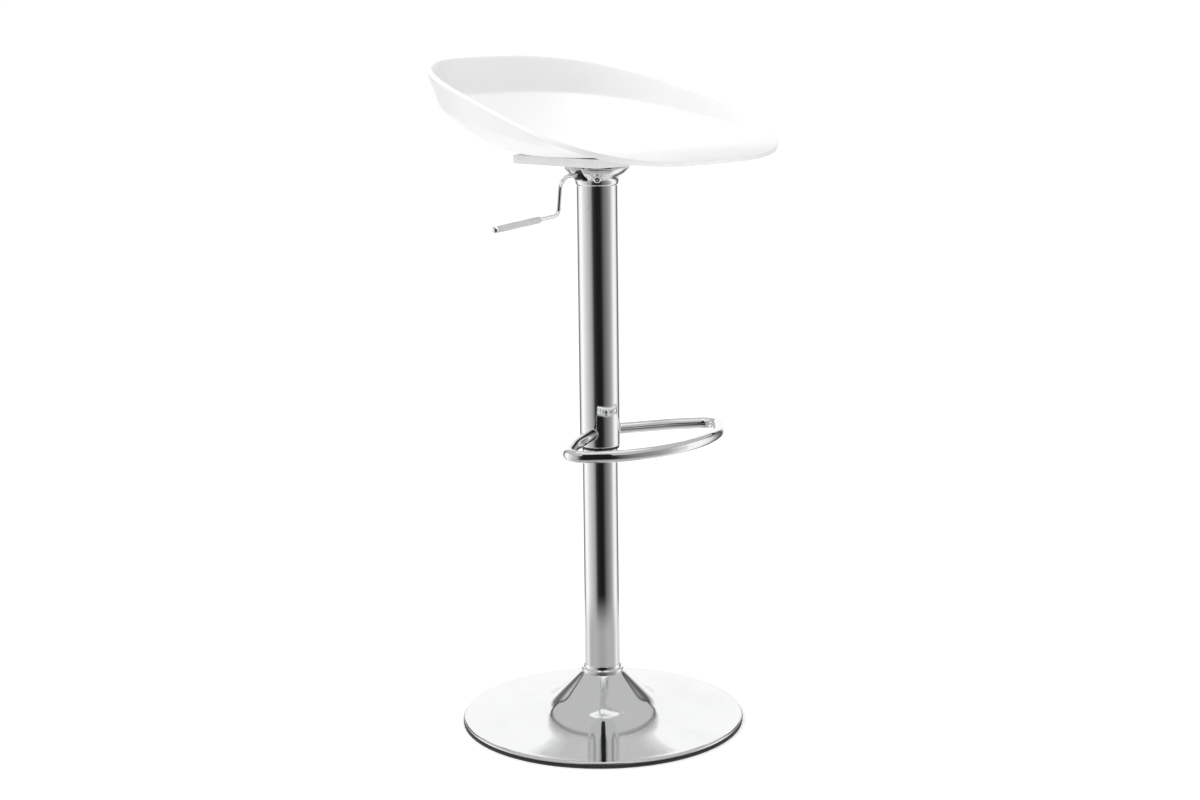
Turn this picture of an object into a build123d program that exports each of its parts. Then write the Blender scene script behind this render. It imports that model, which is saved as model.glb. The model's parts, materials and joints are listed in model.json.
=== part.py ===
"""Adjustable swivel stool: weighted trumpet base, gas lift, welded footrest and scoop seat.

Frame: millimetres, +Z up, origin on the floor under the middle of the column.
The sitter faces -Y, so +X is the sitter's left and the release lever is on the right, at -X.
The lift is modelled at the top of its stroke.
"""

import os
from math import cos, hypot, radians, sin

from build123d import *

os.makedirs("parts", exist_ok=True)

# Base
BASE_R = 200
RUBBER_T = 5.5
RUBBER_WIDTH = 10
RUBBER_FILLET = 0.9
SKIN_T = 1.5
EDGE_R = BASE_R - 0.5
RIM_TOP = 9
CONE_TOP_Z = 73
CONE_TOP_R = 29
SKIN_CURVE = [(49, 54), (64, 39.4), (76, 29.6), (90, 23.8), (130, 16.5), (192, RIM_TOP)]
INSIDE_CURVE = [(129.8, 15), (89.5, 22.4), (75.1, 28.4), (63, 38.3), (48, 52.9)]
TRIM_FOOT_R = 30.2
TRIM_FOOT_TOP = 78
TRIM_FOOT_FILLET = 2
TRIM_NECK_R = 26.4
TRIM_NECK_TOP = 83.4
TRIM_NECK_FILLET = 0.8
WEIGHT_Z = (4.5, 9)
WEIGHT_R = (20, 165)
WEIGHT_CHAMFER = 1
SPACER_Z = (1.5, 4.5)
SPACER_R = (153, 163)
FOOT_PLATE_R = 66
FOOT_PLATE_Z = (9, 15)
FOOT_BOLT_PITCH_R = 50
FOOT_BOLT_R = 4
FOOT_BOLT_HEAD_R = 7
FOOT_BOLT_HEAD_T = 4
FOOT_BOLT_COUNT = 4
FOOT_BOLT_START = 45
FOOT_BOLT_TIP = 1

# Column and gas lift
COLUMN_R = 25
COLUMN_BORE_R = 23
COLUMN_TOP = 540
LIFT_TUBE_R = 14
LIFT_TUBE_BORE_R = 12.5
LIFT_TUBE_Z = (300, 784)
LIFT_TUBE_CAP_T = 8
LIFT_TUBE_CHAMFER = 1
GUIDE_LENGTH = 80
GUIDE_FLANGE_T = 3
GUIDE_FLANGE_R = COLUMN_R - 0.5
ROD_R = 5
ROD_BORE_R = 0.5
ROD_CHAMFER = 0.6
ROD_HOLE_R = ROD_R + 1.5
ROD_BELOW_PLATE = 5
ROD_GUIDE_LENGTH = 12
WASHER_R = 11
WASHER_T = 1
CLIP_R = 10
CLIP_T = 1.6
CLIP_GAP = (8, 4)
FIT = 0.05
RACE_R = (7, 15)
RACE_T = 3
BALL_R = 2
BALL_COUNT = 12
BALL_PITCH_R = 11
BALL_Z = FOOT_PLATE_Z[1] + RACE_T + BALL_R
CAGE_R = (8, 14)
CAGE_HALF_T = 0.8
BUFFER_R = 12
BUFFER_LENGTH = 26
BUFFER_FILLET = 2
PISTON_Z = (314, 326)

# Sleeve and footrest
SLEEVE_R = 28.5
SLEEVE_BORE_R = 26.5
SLEEVE_Z = (401, 764)
SLEEVE_EDGE_FILLET = 1.6
BUSH_DROP = 4
BUSH_GRIP = 30
BUSH_LIP_R = SLEEVE_BORE_R + 0.7
BUSH_LIP_FILLET = 0.8
FOOTREST_Z = 421
FOOTREST_R = 8
FOOTREST_BORE_R = 6.5
FOOTREST_CORNERS = [(7, 19), (44, 95), (86, 152), (134, 100), (157, 38)]
FOOTREST_RADII = [150, 22, 100, 200]

# Seat mechanism
COLLAR_TOP = 788
COLLAR_T = 1.5
COLLAR_R = 44
COLLAR_CURVE = [(29.2, 769), (32.6, 774.6), (38.2, 779.6), (42.6, 785.2)]
COLLAR_INSIDE_CURVE = [(41.3, 786), (37, 780.7), (31.6, 775.8), (27.8, 770)]
COLLAR_FLOOR_T = 2
COLLAR_FLOOR_R = SLEEVE_R - COLLAR_T + 0.3
LEVER_SLOT = (38, 24, 17)
LEVER_SLOT_CENTRE = (-43, 0, 780)
SOCKET_R = 20
SOCKET_SLOT = (30, 9, 30)
SOCKET_SLOT_CENTRE = (-SOCKET_R, 0, 788)
PLATE_SIDE = 164
PLATE_T = 3
PLATE_WALL_T = 2.5
PLATE_TOP = 806
PLATE_SKIRT_Z = 794
PLATE_CORNER_R = (6, 4)
PLATE_FILLET = 1.5
BOLT_PITCH = 120
BOLT_R = 3
BOLT_HEAD_R = 5.5
BOLT_HEAD_T = 4
BOLT_REACH = 4
INSERT_R = 4
SCREW_ANGLES = (-135, -15, 105)
SCREW_Z = 773.5
SCREW_SHANK_R = 2.5
SCREW_SHANK = (16, 17)
SCREW_HEAD_R = 5.4
SCREW_HEAD = (31, 4.4)
SCREW_HEAD_FILLET = 2

# Release lever, in the plane Y = 0
LEVER_PIVOT = (-33, 779)
LEVER_R = 3
LEVER_POINTS = [(1, 796.5), (-12, 796.5), (-26, 779), (-69, 779), (-75, 727.6), (-189.5, 717.9)]
LEVER_RADII = [5, 5, 20, 10]
GRIP_R = 4.75
GRIP_SPAN = (35, 112)
GRIP_CHAMFER = 0.6
CAP_SOCKET = 3
CAP_SOLID = 4
CAP_FILLET = 3.4
SPOOL_DISCS = [(-29, 6.5, 2.5), (-31.5, 4.5, 3), (-34.5, 6.5, 2.5)]
BUTTON_R = 3
BUTTON_TOP = 793.1
BUTTON_IN_TUBE = 12
BUTTON_FILLET = 0.8

# Seat
PAN_TOP = 812.5
WALL_T = 5.5
LIP_T = 8
PAN_FLAT_R = 92
PAN_EDGE_R = 80
RIM_HALF_WIDTH = 205
RIM_FRONT = 222
RIM_BACK = 211
RIM_FRONT_Z = 807
RIM_BACK_Z = 935
RIM_BOW = 8.7
RIM_POWER = 2.9
RIM_WIDER_IN_FRONT = 0.117
FOLD_AT = 0.90
FOLD_RISE = 0.58
CREST = 13
SECTION_STEP = 12


def ring(inner_r, outer_r, z_low, z_high):
    """Add a plain ring around the column's axis to the part being built."""
    with BuildPart(mode=Mode.PRIVATE) as plain_ring:
        with BuildSketch(Plane.XY.offset(z_low)):
            Circle(outer_r)
            Circle(inner_r, mode=Mode.SUBTRACT)
        extrude(amount=z_high - z_low)
    add(plain_ring.part)


def drilled_ring(inner_r, outer_r, z_low, z_high):
    """Add a ring with the holes of the four foot bolts to the part being built."""
    ring(inner_r, outer_r, z_low, z_high)
    with BuildPart(mode=Mode.PRIVATE) as holes:
        with BuildSketch(Plane.XY.offset(z_low)):
            with PolarLocations(FOOT_BOLT_PITCH_R, FOOT_BOLT_COUNT, start_angle=FOOT_BOLT_START):
                Circle(FOOT_BOLT_R)
        extrude(amount=z_high - z_low)
    add(holes.part, mode=Mode.SUBTRACT)


def circles(piece, radius):
    """The round edges of that radius on the part being built."""
    return piece.edges().filter_by(GeomType.CIRCLE).filter_by(lambda edge: abs(edge.radius - radius) < 0.001)


def save(part, name):
    part.label = name
    export_step(part, f"parts/{name}.step")


# ---------------------------------------------------------------- base

with BuildPart() as base_shell:
    with BuildSketch(Plane.XZ):
        with BuildLine():
            skin = Spline((CONE_TOP_R, CONE_TOP_Z), *SKIN_CURVE, tangents=[(1, -0.9), (1, -0.12)])
            rim_arc = ThreePointArc(skin @ 1, (BASE_R - 2.2, 7.9), (EDGE_R, RUBBER_T))
            Line(rim_arc @ 1, (EDGE_R - SKIN_T, RUBBER_T))
            inner_arc = ThreePointArc(
                (EDGE_R - SKIN_T, RUBBER_T), (BASE_R - 3.4, 6.6), (SKIN_CURVE[-1][0], RIM_TOP - SKIN_T)
            )
            under = Spline(
                inner_arc @ 1, *INSIDE_CURVE, (CONE_TOP_R - SKIN_T, CONE_TOP_Z),
                tangents=[(-1, 0.12), (-1, 0.9)],
            )
            Line(under @ 1, skin @ 0)
        make_face()
    revolve(axis=Axis.Z)
save(base_shell.part, "base_shell")

with BuildPart() as rubber_ring:
    ring(BASE_R - RUBBER_WIDTH, BASE_R, 0, RUBBER_T)
    fillet(circles(rubber_ring, BASE_R), RUBBER_FILLET)
save(rubber_ring.part, "rubber_ring")

with BuildPart() as base_weight:
    drilled_ring(*WEIGHT_R, *WEIGHT_Z)
    chamfer(circles(base_weight, WEIGHT_R[1]), WEIGHT_CHAMFER)
save(base_weight.part, "base_weight")

with BuildPart() as weight_spacer:
    ring(*SPACER_R, *SPACER_Z)
save(weight_spacer.part, "weight_spacer")

with BuildPart() as foot_plate:
    drilled_ring(ROD_HOLE_R, FOOT_PLATE_R, *FOOT_PLATE_Z)
save(foot_plate.part, "foot_plate")

with BuildPart() as foot_bolts:
    with BuildSketch(Plane.XY.offset(WEIGHT_Z[0] - FOOT_BOLT_HEAD_T)):
        with PolarLocations(FOOT_BOLT_PITCH_R, FOOT_BOLT_COUNT, start_angle=FOOT_BOLT_START):
            RegularPolygon(FOOT_BOLT_HEAD_R, 6)
    extrude(amount=FOOT_BOLT_HEAD_T)
    with BuildSketch(Plane.XY.offset(WEIGHT_Z[0])):
        with PolarLocations(FOOT_BOLT_PITCH_R, FOOT_BOLT_COUNT, start_angle=FOOT_BOLT_START):
            Circle(FOOT_BOLT_R)
    extrude(amount=FOOT_PLATE_Z[1] - WEIGHT_Z[0] + FOOT_BOLT_TIP)
save(foot_bolts.part, "foot_bolts")

with BuildPart() as column_trim:
    ring(COLUMN_R, TRIM_FOOT_R, CONE_TOP_Z, TRIM_FOOT_TOP)
    fillet(circles(column_trim, TRIM_FOOT_R).sort_by(Axis.Z)[-1], TRIM_FOOT_FILLET)
    ring(COLUMN_R, TRIM_NECK_R, TRIM_FOOT_TOP, TRIM_NECK_TOP)
    fillet(circles(column_trim, TRIM_NECK_R).sort_by(Axis.Z)[-1], TRIM_NECK_FILLET)
save(column_trim.part, "column_trim")

with BuildPart() as column_tube:
    ring(COLUMN_BORE_R, COLUMN_R, FOOT_PLATE_Z[1], COLUMN_TOP)
save(column_tube.part, "column_tube")

# ---------------------------------------------------------------- gas lift, from the floor up

with BuildPart() as guide_bush:
    ring(LIFT_TUBE_R + FIT, COLUMN_BORE_R, COLUMN_TOP - GUIDE_LENGTH, COLUMN_TOP)
    ring(LIFT_TUBE_R + FIT, GUIDE_FLANGE_R, COLUMN_TOP, COLUMN_TOP + GUIDE_FLANGE_T)
save(guide_bush.part, "guide_bush")

with BuildPart() as race_lower:
    ring(*RACE_R, FOOT_PLATE_Z[1], FOOT_PLATE_Z[1] + RACE_T)
save(race_lower.part, "race_lower")

with BuildPart() as bearing_balls:
    with Locations((0, 0, BALL_Z)):
        with PolarLocations(BALL_PITCH_R, BALL_COUNT):
            Sphere(BALL_R)
save(bearing_balls.part, "bearing_balls")

with BuildPart() as ball_cage:
    ring(*CAGE_R, BALL_Z - CAGE_HALF_T, BALL_Z + CAGE_HALF_T)
    with Locations((0, 0, BALL_Z)):
        with PolarLocations(BALL_PITCH_R, BALL_COUNT):
            Sphere(BALL_R + FIT, mode=Mode.SUBTRACT)
save(ball_cage.part, "ball_cage")

race_upper_z = BALL_Z + BALL_R

with BuildPart() as race_upper:
    ring(ROD_R, RACE_R[1], race_upper_z, race_upper_z + RACE_T)
save(race_upper.part, "race_upper")

with BuildPart() as rod_buffer:
    ring(ROD_R, BUFFER_R, race_upper_z + RACE_T, race_upper_z + RACE_T + BUFFER_LENGTH)
    fillet(circles(rod_buffer, BUFFER_R).sort_by(Axis.Z)[-1], BUFFER_FILLET)
save(rod_buffer.part, "rod_buffer")

with BuildPart() as piston_rod:
    ring(ROD_BORE_R, ROD_R, FOOT_PLATE_Z[0] - ROD_BELOW_PLATE, PISTON_Z[1])
    chamfer(circles(piston_rod, ROD_R), ROD_CHAMFER)
save(piston_rod.part, "piston_rod")

washer_low = FOOT_PLATE_Z[0] - WASHER_T

with BuildPart() as rod_clip:
    ring(ROD_R, CLIP_R, washer_low - CLIP_T, washer_low)
    with BuildSketch(Plane.XY.offset(washer_low - CLIP_T)):
        with Locations((8, 0)):
            Rectangle(*CLIP_GAP)
    extrude(amount=CLIP_T, mode=Mode.SUBTRACT)
save(rod_clip.part, "rod_clip")

with BuildPart() as rod_washer:
    ring(ROD_R, WASHER_R, washer_low, FOOT_PLATE_Z[0])
save(rod_washer.part, "rod_washer")

with BuildPart() as piston:
    ring(ROD_R, LIFT_TUBE_BORE_R - FIT, *PISTON_Z)
save(piston.part, "piston")

with BuildPart() as rod_guide:
    ring(ROD_R + FIT, LIFT_TUBE_BORE_R, LIFT_TUBE_Z[0], LIFT_TUBE_Z[0] + ROD_GUIDE_LENGTH)
save(rod_guide.part, "rod_guide")

with BuildPart() as lift_tube:
    ring(LIFT_TUBE_BORE_R, LIFT_TUBE_R, *LIFT_TUBE_Z)
    ring(BUTTON_R + FIT, LIFT_TUBE_BORE_R, LIFT_TUBE_Z[1] - LIFT_TUBE_CAP_T, LIFT_TUBE_Z[1])
    chamfer(circles(lift_tube, LIFT_TUBE_R).sort_by(Axis.Z)[-1], LIFT_TUBE_CHAMFER)
save(lift_tube.part, "lift_tube")

with BuildPart() as release_button:
    with BuildSketch(Plane.XY.offset(LIFT_TUBE_Z[1] - BUTTON_IN_TUBE)):
        Circle(BUTTON_R)
    extrude(amount=BUTTON_TOP - LIFT_TUBE_Z[1] + BUTTON_IN_TUBE)
    fillet(circles(release_button, BUTTON_R).sort_by(Axis.Z)[-1], BUTTON_FILLET)
save(release_button.part, "release_button")

# ---------------------------------------------------------------- sleeve and footrest

with BuildPart() as sleeve_tube:
    ring(SLEEVE_BORE_R, SLEEVE_R, *SLEEVE_Z)
    fillet(circles(sleeve_tube, SLEEVE_R).sort_by(Axis.Z)[0], SLEEVE_EDGE_FILLET)
save(sleeve_tube.part, "sleeve_tube")

with BuildPart() as sleeve_bush:
    ring(COLUMN_R + FIT, SLEEVE_BORE_R, SLEEVE_Z[0], SLEEVE_Z[0] + BUSH_GRIP)
    ring(COLUMN_R + FIT, BUSH_LIP_R, SLEEVE_Z[0] - BUSH_DROP, SLEEVE_Z[0])
    fillet(circles(sleeve_bush, BUSH_LIP_R).sort_by(Axis.Z)[0], BUSH_LIP_FILLET)
save(sleeve_bush.part, "sleeve_bush")

right_side = [(-side, -ahead) for ahead, side in FOOTREST_CORNERS]
left_side = [(side, -ahead) for ahead, side in reversed(FOOTREST_CORNERS)]

with BuildPart() as footrest:
    with BuildLine(Plane.XY.offset(FOOTREST_Z)) as loop_path:
        FilletPolyline(*right_side, *left_side, radius=FOOTREST_RADII + FOOTREST_RADII[::-1])
    with BuildSketch(Plane(loop_path.line @ 0, z_dir=loop_path.line % 0)):
        Circle(FOOTREST_R)
        Circle(FOOTREST_BORE_R, mode=Mode.SUBTRACT)
    sweep(path=loop_path.line)
    with Locations((0, 0, FOOTREST_Z)):
        Cylinder(SLEEVE_R, 4 * FOOTREST_R, mode=Mode.SUBTRACT)
save(footrest.part, "footrest")

# ---------------------------------------------------------------- seat mechanism

with BuildPart() as sleeve_collar:
    with BuildSketch(Plane.XZ):
        with BuildLine():
            flare = Spline(
                (SLEEVE_R, SLEEVE_Z[1]), *COLLAR_CURVE, (COLLAR_R, COLLAR_TOP), tangents=[(0, 1), (0.35, 1)]
            )
            Line(flare @ 1, (COLLAR_R - COLLAR_T, COLLAR_TOP))
            inside = Spline(
                (COLLAR_R - COLLAR_T, COLLAR_TOP), *COLLAR_INSIDE_CURVE, (SLEEVE_R - COLLAR_T, SLEEVE_Z[1]),
                tangents=[(-0.35, -1), (0, -1)],
            )
            Line(inside @ 1, flare @ 0)
        make_face()
    revolve(axis=Axis.Z)
    ring(SOCKET_R, COLLAR_FLOOR_R, SLEEVE_Z[1], SLEEVE_Z[1] + COLLAR_FLOOR_T)
    with Locations(LEVER_SLOT_CENTRE):
        Box(*LEVER_SLOT, mode=Mode.SUBTRACT)
save(sleeve_collar.part, "sleeve_collar")

with BuildPart() as lift_socket:
    ring(LIFT_TUBE_R, SOCKET_R, SLEEVE_Z[1] - COLLAR_FLOOR_T, PLATE_TOP - PLATE_T)
    with Locations(SOCKET_SLOT_CENTRE):
        Box(*SOCKET_SLOT, mode=Mode.SUBTRACT)
save(lift_socket.part, "lift_socket")

with BuildPart() as collar_screws:
    for angle in SCREW_ANGLES:
        outward = Vector(cos(radians(angle)), sin(radians(angle)), 0)
        with BuildSketch(Plane(outward * SCREW_SHANK[0] + Vector(0, 0, SCREW_Z), z_dir=outward)):
            Circle(SCREW_SHANK_R)
        extrude(amount=SCREW_SHANK[1])
        with BuildSketch(Plane(outward * SCREW_HEAD[0] + Vector(0, 0, SCREW_Z), z_dir=outward)):
            Circle(SCREW_HEAD_R)
        extrude(amount=SCREW_HEAD[1])
    outer_edges = [
        edge for edge in circles(collar_screws, SCREW_HEAD_R)
        if hypot(edge.arc_center.X, edge.arc_center.Y) > sum(SCREW_HEAD) - 1
    ]
    fillet(outer_edges, SCREW_HEAD_FILLET)
save(collar_screws.part, "collar_screws")

with BuildPart() as mounting_plate:
    with BuildSketch(Plane.XY.offset(PLATE_SKIRT_Z)):
        RectangleRounded(PLATE_SIDE, PLATE_SIDE, PLATE_CORNER_R[0])
    extrude(amount=PLATE_TOP - PLATE_SKIRT_Z)
    with BuildSketch(Plane.XY.offset(PLATE_SKIRT_Z)):
        RectangleRounded(PLATE_SIDE - 2 * PLATE_WALL_T, PLATE_SIDE - 2 * PLATE_WALL_T, PLATE_CORNER_R[1])
    extrude(amount=PLATE_TOP - PLATE_SKIRT_Z - PLATE_T, mode=Mode.SUBTRACT)
    with BuildSketch(Plane.XY.offset(PLATE_TOP - PLATE_T)):
        with GridLocations(BOLT_PITCH, BOLT_PITCH, 2, 2):
            Circle(BOLT_R)
    extrude(amount=PLATE_T, mode=Mode.SUBTRACT)
    fillet(mounting_plate.edges().group_by(Axis.Z)[-1].filter_by(GeomType.LINE), PLATE_FILLET)
save(mounting_plate.part, "mounting_plate")

with BuildPart() as seat_bolts:
    with BuildSketch(Plane.XY.offset(PLATE_TOP - PLATE_T - BOLT_HEAD_T)):
        with GridLocations(BOLT_PITCH, BOLT_PITCH, 2, 2):
            RegularPolygon(BOLT_HEAD_R, 6)
    extrude(amount=BOLT_HEAD_T)
    with BuildSketch(Plane.XY.offset(PLATE_TOP - PLATE_T)):
        with GridLocations(BOLT_PITCH, BOLT_PITCH, 2, 2):
            Circle(BOLT_R)
    extrude(amount=PLATE_T + BOLT_REACH)
save(seat_bolts.part, "seat_bolts")

with BuildPart() as seat_inserts:
    with BuildSketch(Plane.XY.offset(PLATE_TOP)):
        with GridLocations(BOLT_PITCH, BOLT_PITCH, 2, 2):
            Circle(INSERT_R)
            Circle(BOLT_R, mode=Mode.SUBTRACT)
    extrude(amount=BOLT_REACH)
save(seat_inserts.part, "seat_inserts")

# ---------------------------------------------------------------- release lever

with BuildPart() as lever_rod:
    with BuildLine(Plane.XZ) as lever_path:
        FilletPolyline(*LEVER_POINTS, radius=LEVER_RADII)
    with BuildSketch(Plane(lever_path.line @ 0, z_dir=lever_path.line % 0)):
        Circle(LEVER_R)
    sweep(path=lever_path.line)
save(lever_rod.part, "lever_rod")

elbow = Vector(LEVER_POINTS[-2][0], 0, LEVER_POINTS[-2][1])
grip_way = (Vector(LEVER_POINTS[-1][0], 0, LEVER_POINTS[-1][1]) - elbow).normalized()

with BuildPart() as lever_grip:
    with BuildSketch(Plane(elbow + grip_way * GRIP_SPAN[0], z_dir=grip_way)):
        Circle(GRIP_R)
        Circle(LEVER_R, mode=Mode.SUBTRACT)
    extrude(amount=GRIP_SPAN[1] - GRIP_SPAN[0])
    chamfer(circles(lever_grip, GRIP_R).sort_by(Axis.X)[-1], GRIP_CHAMFER)
save(lever_grip.part, "lever_grip")

with BuildPart() as grip_cap:
    with BuildSketch(Plane(elbow + grip_way * GRIP_SPAN[1], z_dir=grip_way)):
        Circle(GRIP_R)
        Circle(LEVER_R, mode=Mode.SUBTRACT)
    extrude(amount=CAP_SOCKET)
    with BuildSketch(Plane(elbow + grip_way * (GRIP_SPAN[1] + CAP_SOCKET), z_dir=grip_way)):
        Circle(GRIP_R)
    extrude(amount=CAP_SOLID)
    fillet(circles(grip_cap, GRIP_R).sort_by(Axis.X)[0], CAP_FILLET)
save(grip_cap.part, "grip_cap")

with BuildPart() as lever_bush:
    for start, outer_r, width in SPOOL_DISCS:
        with BuildSketch(Plane((start, 0, LEVER_PIVOT[1]), z_dir=(-1, 0, 0))):
            Circle(outer_r)
            Circle(LEVER_R, mode=Mode.SUBTRACT)
        extrude(amount=width)
save(lever_bush.part, "lever_bush")

# ---------------------------------------------------------------- seat


def rim_at(bearing):
    """Radius and height of the rim's inner edge, bearing measured from straight ahead."""
    ahead, side = cos(bearing), sin(bearing)
    half_length = (RIM_FRONT + RIM_BACK) / 2 + (RIM_FRONT - RIM_BACK) / 2 * ahead
    half_width = RIM_HALF_WIDTH * (1 + RIM_WIDER_IN_FRONT * ahead)
    r = (abs(ahead / half_length) ** RIM_POWER + abs(side / half_width) ** RIM_POWER) ** (-1 / RIM_POWER)
    reach = r * ahead / half_length
    z = (RIM_FRONT_Z + RIM_BACK_Z) / 2 + (RIM_FRONT_Z - RIM_BACK_Z) / 2 * reach + RIM_BOW * (1 - reach**2)
    return r, z


def seat_point(bearing, way):
    """A point (radius, height) of the seat's top surface, from the pan's edge (0) to the rim (1)."""
    rim_r, rim_z = rim_at(bearing)
    if way < FOLD_AT:
        rise = FOLD_RISE * (way / FOLD_AT) ** 1.8
    else:
        rise = FOLD_RISE + (1 - FOLD_RISE) * (way - FOLD_AT) / (1 - FOLD_AT)
    crest = CREST * max(0, cos(bearing)) ** 2 * 6.75 * way**2 * (1 - way)
    return PAN_FLAT_R + way * (rim_r - PAN_FLAT_R), PAN_TOP + rise * (rim_z - PAN_TOP) + crest


def under_point(bearing, way, thickness):
    """The point of the underside that lies square to the top surface."""
    step = 0.01
    low, high = (way - step, way) if way >= FOLD_AT else (way, way + step)
    (r0, z0), (r1, z1) = seat_point(bearing, low), seat_point(bearing, high)
    run = hypot(r1 - r0, z1 - z0)
    r, z = seat_point(bearing, way)
    return r + (z1 - z0) / run * thickness, z - (r1 - r0) / run * thickness


CURVE = [0.2, 0.4, 0.6, 0.76, FOLD_AT]

with BuildPart() as seat_shell:
    for step in range(0, 181, SECTION_STEP):
        bearing = radians(step)
        ahead, side = cos(bearing), sin(bearing)
        cut = Plane((0, 0, 0), x_dir=(side, -ahead, 0), z_dir=(-ahead, -side, 0))
        with BuildSketch(cut):
            with BuildLine():
                top_flat = Line((PAN_EDGE_R, PAN_TOP), (PAN_FLAT_R, PAN_TOP))
                top = Spline(top_flat @ 1, *[seat_point(bearing, way) for way in CURVE])
                top_wall = Line(top @ 1, seat_point(bearing, 1))
                lip = Line(top_wall @ 1, under_point(bearing, 1, LIP_T))
                fold = under_point(bearing, FOLD_AT, WALL_T)
                under_wall = Line(lip @ 1, fold)
                under = Spline(
                    fold, *[under_point(bearing, way, WALL_T) for way in CURVE[-2::-1]],
                    (PAN_FLAT_R, PAN_TOP - WALL_T),
                )
                under_flat = Line(under @ 1, (PAN_EDGE_R, PAN_TOP - WALL_T))
                Line(under_flat @ 1, top_flat @ 0)
            make_face()
    loft()
    mirror(about=Plane.YZ)
    with BuildSketch(Plane.XY.offset(PLATE_TOP)):
        Circle(PAN_FLAT_R - 1)
    extrude(amount=PAN_TOP - 0.5 - PLATE_TOP)
    with BuildSketch(Plane.XY.offset(PLATE_TOP)):
        with GridLocations(BOLT_PITCH, BOLT_PITCH, 2, 2):
            Circle(INSERT_R)
    extrude(amount=BOLT_REACH, mode=Mode.SUBTRACT)
save(seat_shell.part, "seat_shell")
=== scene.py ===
"""Adjustable swivel stool: white scoop seat, chromed gas-lift column, footrest loop and trumpet base.

Everything is in metres in the model's own frame: +Z up the column, the sitter faces -Y and the
release lever is at -X. Lengths written in millimetres are multiplied by MM.
"""

import json
from math import atan2, cos, hypot, pi, radians, sin, tan

import bmesh
import bpy
from mathutils import Matrix, Vector


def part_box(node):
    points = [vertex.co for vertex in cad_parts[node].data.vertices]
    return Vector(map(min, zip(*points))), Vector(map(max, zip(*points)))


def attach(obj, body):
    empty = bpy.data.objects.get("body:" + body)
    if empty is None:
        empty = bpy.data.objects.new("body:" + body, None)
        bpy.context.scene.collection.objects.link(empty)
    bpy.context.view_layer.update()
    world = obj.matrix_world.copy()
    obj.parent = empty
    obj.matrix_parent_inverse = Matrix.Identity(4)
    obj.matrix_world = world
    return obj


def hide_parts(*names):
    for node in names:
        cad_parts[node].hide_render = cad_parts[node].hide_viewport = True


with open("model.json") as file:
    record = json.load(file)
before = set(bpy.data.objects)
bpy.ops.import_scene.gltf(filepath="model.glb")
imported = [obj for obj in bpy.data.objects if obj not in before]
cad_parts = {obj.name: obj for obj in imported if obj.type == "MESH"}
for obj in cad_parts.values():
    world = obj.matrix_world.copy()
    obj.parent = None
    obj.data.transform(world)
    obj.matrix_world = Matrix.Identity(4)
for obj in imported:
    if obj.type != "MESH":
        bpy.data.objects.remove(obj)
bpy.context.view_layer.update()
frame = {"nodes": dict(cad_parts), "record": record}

MM = 0.001
UP = Vector((0, 0, 1))
LATHE_STEPS = 96
BEND_STEP = radians(6)
SAME_POINT = 1e-6


# ---------------------------------------------------------------- camera

CAMERA_DISTANCE = 2.70
CAMERA_HEIGHT = 0.995
CAMERA_AZIMUTH = radians(-45.5)
CAMERA_PITCH = radians(-11.119)
CAMERA_YAW = radians(-0.014)
CAMERA_ROLL = radians(-0.66)
LENS_MM = 59.28
SENSOR_MM = 36
CAMERA_REACH = (0.05, 50)

camera = bpy.data.objects.new("camera", bpy.data.cameras.new("camera"))
bpy.context.scene.collection.objects.link(camera)
bpy.context.scene.camera = camera
camera.data.lens = LENS_MM
camera.data.sensor_width = SENSOR_MM
camera.data.clip_start, camera.data.clip_end = CAMERA_REACH
toward_camera = Vector((sin(CAMERA_AZIMUTH), -cos(CAMERA_AZIMUTH), 0))
camera_right = UP.cross(toward_camera)
camera.matrix_world = (
    Matrix.Translation(CAMERA_DISTANCE * toward_camera + CAMERA_HEIGHT * UP)
    @ Matrix.Rotation(CAMERA_AZIMUTH + CAMERA_YAW, 4, "Z")
    @ Matrix.Rotation(pi / 2 + CAMERA_PITCH, 4, "X")
    @ Matrix.Rotation(CAMERA_ROLL, 4, "Z")
)


# ---------------------------------------------------------------- finishes


class Amount:
    """A number that varies over a surface, so that a finish can be written as sums."""

    def __init__(self, finish, socket):
        self.finish, self.socket = finish, socket

    def worked(self, operation, *amounts):
        return self.finish.node("ShaderNodeMath", {"operation": operation}, dict(enumerate(amounts)))

    def __add__(self, other):
        return self.worked("ADD", self, other)

    def __sub__(self, other):
        return self.worked("SUBTRACT", self, other)

    def __rsub__(self, other):
        return self.worked("SUBTRACT", other, self)

    def __mul__(self, other):
        return self.worked("MULTIPLY", self, other)

    def __truediv__(self, other):
        return self.worked("DIVIDE", self, other)

    def __pow__(self, other):
        return self.worked("POWER", self, other)

    def __abs__(self):
        return self.worked("ABSOLUTE", self)

    def sine(self):
        return self.worked("SINE", self)

    def angle_from(self, other):
        return self.worked("ARCTAN2", self, other)

    def at_most(self, other):
        return self.worked("MINIMUM", self, other)

    __radd__ = __add__
    __rmul__ = __mul__


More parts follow.
